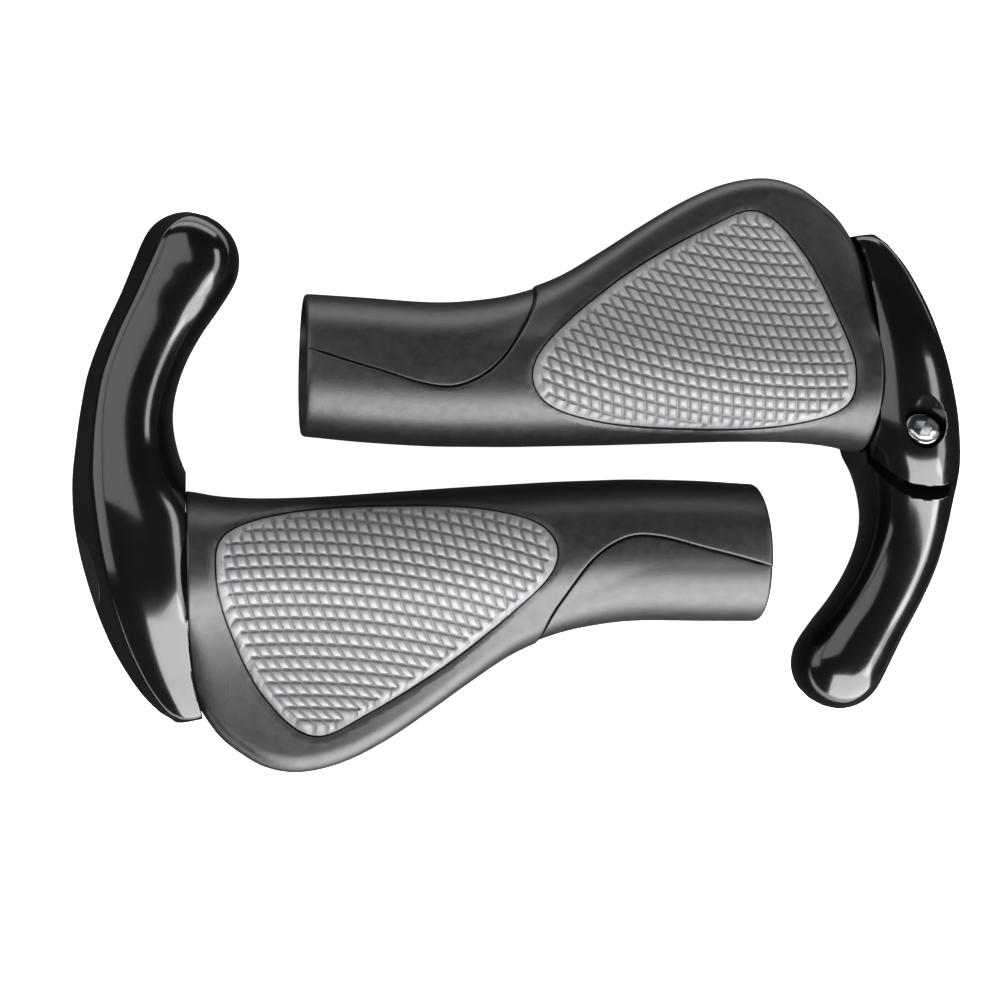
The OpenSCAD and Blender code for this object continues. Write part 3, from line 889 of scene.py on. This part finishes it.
class Nodes:
    """A short way to write a material's nodes. Lengths are in metres in object space."""

    def __init__(self, name):
        self.material = bpy.data.materials.new(name)
        self.material.use_nodes = True
        self.tree = self.material.node_tree
        self.shader = self.tree.nodes["Principled BSDF"]
        self.coords = self.add("ShaderNodeTexCoord").outputs["Object"]

    def add(self, kind, **settings):
        node = self.tree.nodes.new(kind)
        for key, value in settings.items():
            setattr(node, key, value)
        return node

    def link(self, a, b):
        self.tree.links.new(a, b)

    def noise(self, size_mm, detail=3.0, rough=0.5):
        node = self.add("ShaderNodeTexNoise")
        node.inputs["Scale"].default_value = 1000.0 / size_mm
        node.inputs["Detail"].default_value = detail
        node.inputs["Roughness"].default_value = rough
        self.link(self.coords, node.inputs["Vector"])
        return node.outputs["Fac"]

    def cells(self, size_mm):
        node = self.add("ShaderNodeTexVoronoi", feature="SMOOTH_F1")
        node.inputs["Scale"].default_value = 1000.0 / size_mm
        self.link(self.coords, node.inputs["Vector"])
        return node.outputs["Distance"]

    def spread(self, fac, low, high, from_low=0.3, from_high=0.7):
        node = self.add("ShaderNodeMapRange")
        node.inputs["From Min"].default_value = from_low
        node.inputs["From Max"].default_value = from_high
        node.inputs["To Min"].default_value = low
        node.inputs["To Max"].default_value = high
        self.link(fac, node.inputs["Value"])
        return node.outputs["Result"]

    def mix(self, fac, dark, light):
        node = self.add("ShaderNodeMix", data_type="RGBA")
        for socket, value in ((6, dark), (7, light)):
            if isinstance(value, tuple):
                node.inputs[socket].default_value = (*value, 1)
            else:
                self.link(value, node.inputs[socket])
        self.link(fac, node.inputs[0])
        return node.outputs[2]

    def bump(self, height, strength, distance_mm, under=None):
        node = self.add("ShaderNodeBump")
        node.inputs["Strength"].default_value = strength
        node.inputs["Distance"].default_value = distance_mm * MM
        self.link(height, node.inputs["Height"])
        if under is not None:
            self.link(under, node.inputs["Normal"])
        return node.outputs["Normal"]

    def edges(self):
        """Painted highlight mask: 1 on convex edges, found by pointiness, where the colour is made
        lighter as rim light would make it.
        """
        geometry = self.add("ShaderNodeNewGeometry")
        return self.spread(geometry.outputs["Pointiness"], 0, 1, 0.52, 0.6)

    def set(self, **values):
        for key, value in values.items():
            self.shader.inputs[key.replace("_", " ")].default_value = value

    def to(self, socket, output):
        self.link(output, self.shader.inputs[socket])


def grey(level, tint=0.03):
    """A faintly cool grey."""
    return (level * (1 - tint), level, level * (1 + tint))


def black_rubber(name, base, rough):
    m = Nodes(name)
    cloud = m.noise(9, 4, 0.6)
    colour = m.mix(m.spread(cloud, 0, 1), grey(base * 0.85), grey(base * 1.2))
    # painted highlight: convex edges are coloured lighter, standing in for rim light on the rubber
    m.to("Base Color", m.mix(m.edges(), colour, grey(base * 1.7)))
    m.to("Roughness", m.spread(m.noise(2.2, 3), rough - 0.04, rough + 0.05))
    fine = m.bump(m.noise(0.22, 2, 0.6), 0.35, 0.05)
    m.to("Normal", m.bump(m.cells(0.55), 0.22, 0.06, fine))
    m.set(Specular_IOR_Level=0.6)
    return m.material


def pad_rubber():
    m = Nodes("pad_grey_rubber")
    depth = m.add("ShaderNodeAttribute", attribute_name="groove")
    cloud = m.noise(14, 4, 0.6)
    top = m.mix(m.spread(cloud, 0, 1), grey(0.215), grey(0.265))
    speck = m.mix(m.spread(m.noise(0.35, 2), 0, 1, 0.35, 0.75), grey(0.21), top)
    # painted shade: the colour darkens with groove depth, standing in for the shade that falls in
    # the grooves
    m.to("Base Color", m.mix(m.spread(depth.outputs["Fac"], 0, 1, 0.08, 0.5), speck, grey(0.11)))
    m.to("Roughness", m.spread(m.noise(1.5, 3), 0.42, 0.52))
    m.to("Normal", m.bump(m.noise(0.25, 3, 0.6), 0.3, 0.05))
    m.set(Specular_IOR_Level=0.45)
    return m.material


def gloss_black():
    m = Nodes("bar_end_gloss_black")
    cloud = m.noise(20, 3)
    dark, light = (0.002, 0.002, 0.0022), (0.0035, 0.0035, 0.0038)
    m.to("Base Color", m.mix(m.spread(cloud, 0, 1), dark, light))
    m.to("Roughness", m.spread(m.noise(6, 4, 0.6), 0.13, 0.18))
    m.to("Normal", m.bump(m.noise(1.6, 2), 0.03, 0.03))
    m.set(Specular_IOR_Level=0.5, Coat_Weight=0.25, Coat_Roughness=0.06)
    return m.material


def satin_plastic(name, base, rough):
    m = Nodes(name)
    m.to("Base Color", m.mix(m.spread(m.noise(5, 3), 0, 1), grey(base * 0.85), grey(base * 1.15)))
    m.to("Roughness", m.spread(m.noise(1.2, 3), rough - 0.05, rough + 0.05))
    m.to("Normal", m.bump(m.noise(0.3, 2), 0.2, 0.03))
    return m.material


def bright_steel(name, base, rough):
    m = Nodes(name)
    m.to("Base Color", m.mix(m.spread(m.noise(1.5, 3), 0, 1), grey(base * 0.9), grey(base * 1.05)))
    m.to("Roughness", m.spread(m.noise(0.5, 4, 0.6), rough * 0.8, rough * 1.3))
    m.to("Normal", m.bump(m.noise(0.3, 2), 0.1, 0.02))
    m.set(Metallic=1.0)
    return m.material


# ---------------------------------------------------------------- build


def shaped(name, made, keep_depth=False):
    """The mesh of a shell, with its groove depths as an attribute that a material reads to paint
    shade into the grooves.
    """
    verts, faces, depth = made
    mesh = make_mesh(name, verts, faces)
    if keep_depth:
        groove = mesh.attributes.new("groove", "FLOAT", "POINT")
        groove.data.foreach_set("value", depth.astype(np.float32))
    return mesh


def build():
    cover_rubber = black_rubber("cover_black_rubber", 0.008, 0.40)
    panel_rubber = black_rubber("panel_black_rubber", 0.008, 0.39)
    grey_rubber = pad_rubber()
    lacquer = gloss_black()
    cap_plastic = satin_plastic("cap_satin_black", 0.012, 0.32)
    sleeve_plastic = satin_plastic("sleeve_black_plastic", 0.02, 0.45)
    chrome = bright_steel("bolt_bright_steel", 0.62, 0.2)
    machined = bright_steel("insert_machined_steel", 0.6, 0.35)

    cover = shaped("cover", cover_shape())
    panel = shaped("panel", panel_shape())
    pad = shaped("pad", pad_shape(), keep_depth=True)
    lower = turned_over(pad)
    bar_end = bar_end_mesh()
    cap, washer, bolt = end_cap_mesh(), washer_mesh(), bolt_mesh()
    for side in SIDES:
        place(cover, side, "rubber_cover", "grip_body", cover_rubber, 50)
        place(panel, side, "neck_panel", "grip_body", panel_rubber, 50)
        place(pad, side, "upper_pad", "grip_body", grey_rubber, 75)
        place(lower, side, "lower_pad", "grip_body", grey_rubber, 75)
        place(bar_end, side, "bar_end", "bar_end_body", lacquer, 30, True)
        place(cap, side, "end_cap", "bar_end_body", cap_plastic, 30, True)
        place(washer, side, "clamp_washer", "washer_body", chrome)
        place(bolt, side, "clamp_bolt", "bolt_body", chrome, 30, True)
        for node, material in (("core_sleeve", sleeve_plastic), ("thread_insert", machined)):
            cad = frame["nodes"][f"{side}_{node}"]
            cad.data.materials.clear()
            cad.data.materials.append(material)


# ---------------------------------------------------------------- floor, lights and camera

FLOOR_DROP = -0.0004     # keeps the floor clear of the pieces that lie on it
CARD_DROP = -0.002       # the two cards light from under the floor, as a white table would


def make_floor():
    """A white floor that only the camera sees, since the photo's ground leaves no shadow."""
    far = 3
    verts = [(-far, -far, 0), (far, -far, 0), (far, far, 0), (-far, far, 0)]
    floor = as_object("floor", make_mesh("floor", verts, [(0, 1, 2, 3)]))
    floor.location.z = FLOOR_DROP
    floor.visible_diffuse = False
    floor.visible_glossy = False
    floor.visible_shadow = False
    material = bpy.data.materials.new("floor_white")
    material.use_nodes = True
    shader = material.node_tree.nodes["Principled BSDF"]
    shader.inputs["Base Color"].default_value = (0.86, 0.86, 0.86, 1)
    shader.inputs["Roughness"].default_value = 0.9
    shader.inputs["Specular IOR Level"].default_value = 0.1
    shader.inputs["Emission Color"].default_value = (1, 1, 1, 1)
    shader.inputs["Emission Strength"].default_value = 0.9
    floor.data.materials.append(material)


def area_light(name, place_m, look_m, size_m, watts):
    data = bpy.data.lights.new(name, "AREA")
    data.shape = "RECTANGLE"
    data.size, data.size_y = size_m
    data.energy = watts
    light = bpy.data.objects.new(name, data)
    bpy.context.scene.collection.objects.link(light)
    light.location = place_m
    aim = Vector(look_m) - Vector(place_m)
    light.rotation_euler = aim.to_track_quat("-Z", "Y").to_euler()


def make_lights():
    middle = (0, 0, 0.02)
    area_light("front_softbox", (0.24, -0.70, 0.36), middle, (0.95, 0.86), 26)
    area_light("back_strip", (0, 0.80, 0.12), middle, (1.1, 0.20), 3)
    area_light("front_card", (-0.03, -0.27, CARD_DROP), (-0.03, -0.27, 1), (0.5, 0.3), 1.6)
    area_light("back_card", (0.03, 0.27, CARD_DROP), (0.03, 0.27, 1), (0.5, 0.3), 1.1)
    area_light("overhead_softbox", (-0.50, 0.36, 0.62), (-0.50, 0.36, 0), (0.8, 0.76), 4)
    area_light("left_softbox", (-0.90, 0.15, 0.30), (0, 0.15, 0.02), (0.9, 0.45), 2.8)
    area_light("right_strip", (0.59, -0.05, 0.54), middle, (0.9, 0.2), 3.6)
    world = bpy.data.worlds.new("studio")
    bpy.context.scene.world = world
    world.use_nodes = True
    background = world.node_tree.nodes["Background"]
    background.inputs["Color"].default_value = (1, 1, 1, 1)
    background.inputs["Strength"].default_value = 0.05


AIM = Vector((-0.0075, -0.00725, 0.0182))
CAMERA_DISTANCE = 0.445
CAMERA_LEAN = math.radians(9.4)
CAMERA_LENS, CAMERA_SENSOR = 67.9, 36      # millimetres


def make_camera():
    data = bpy.data.cameras.new("camera")
    data.sensor_width = CAMERA_SENSOR
    data.lens = CAMERA_LENS
    camera = bpy.data.objects.new("camera", data)
    bpy.context.scene.collection.objects.link(camera)
    away = Vector((-math.sin(CAMERA_LEAN), 0, math.cos(CAMERA_LEAN)))
    camera.location = AIM + CAMERA_DISTANCE * away
    camera.rotation_euler = (0, -CAMERA_LEAN, 0)
    bpy.context.scene.camera = camera


build()
make_floor()
make_lights()
make_camera()
bpy.context.scene.view_settings.view_transform = "Standard"
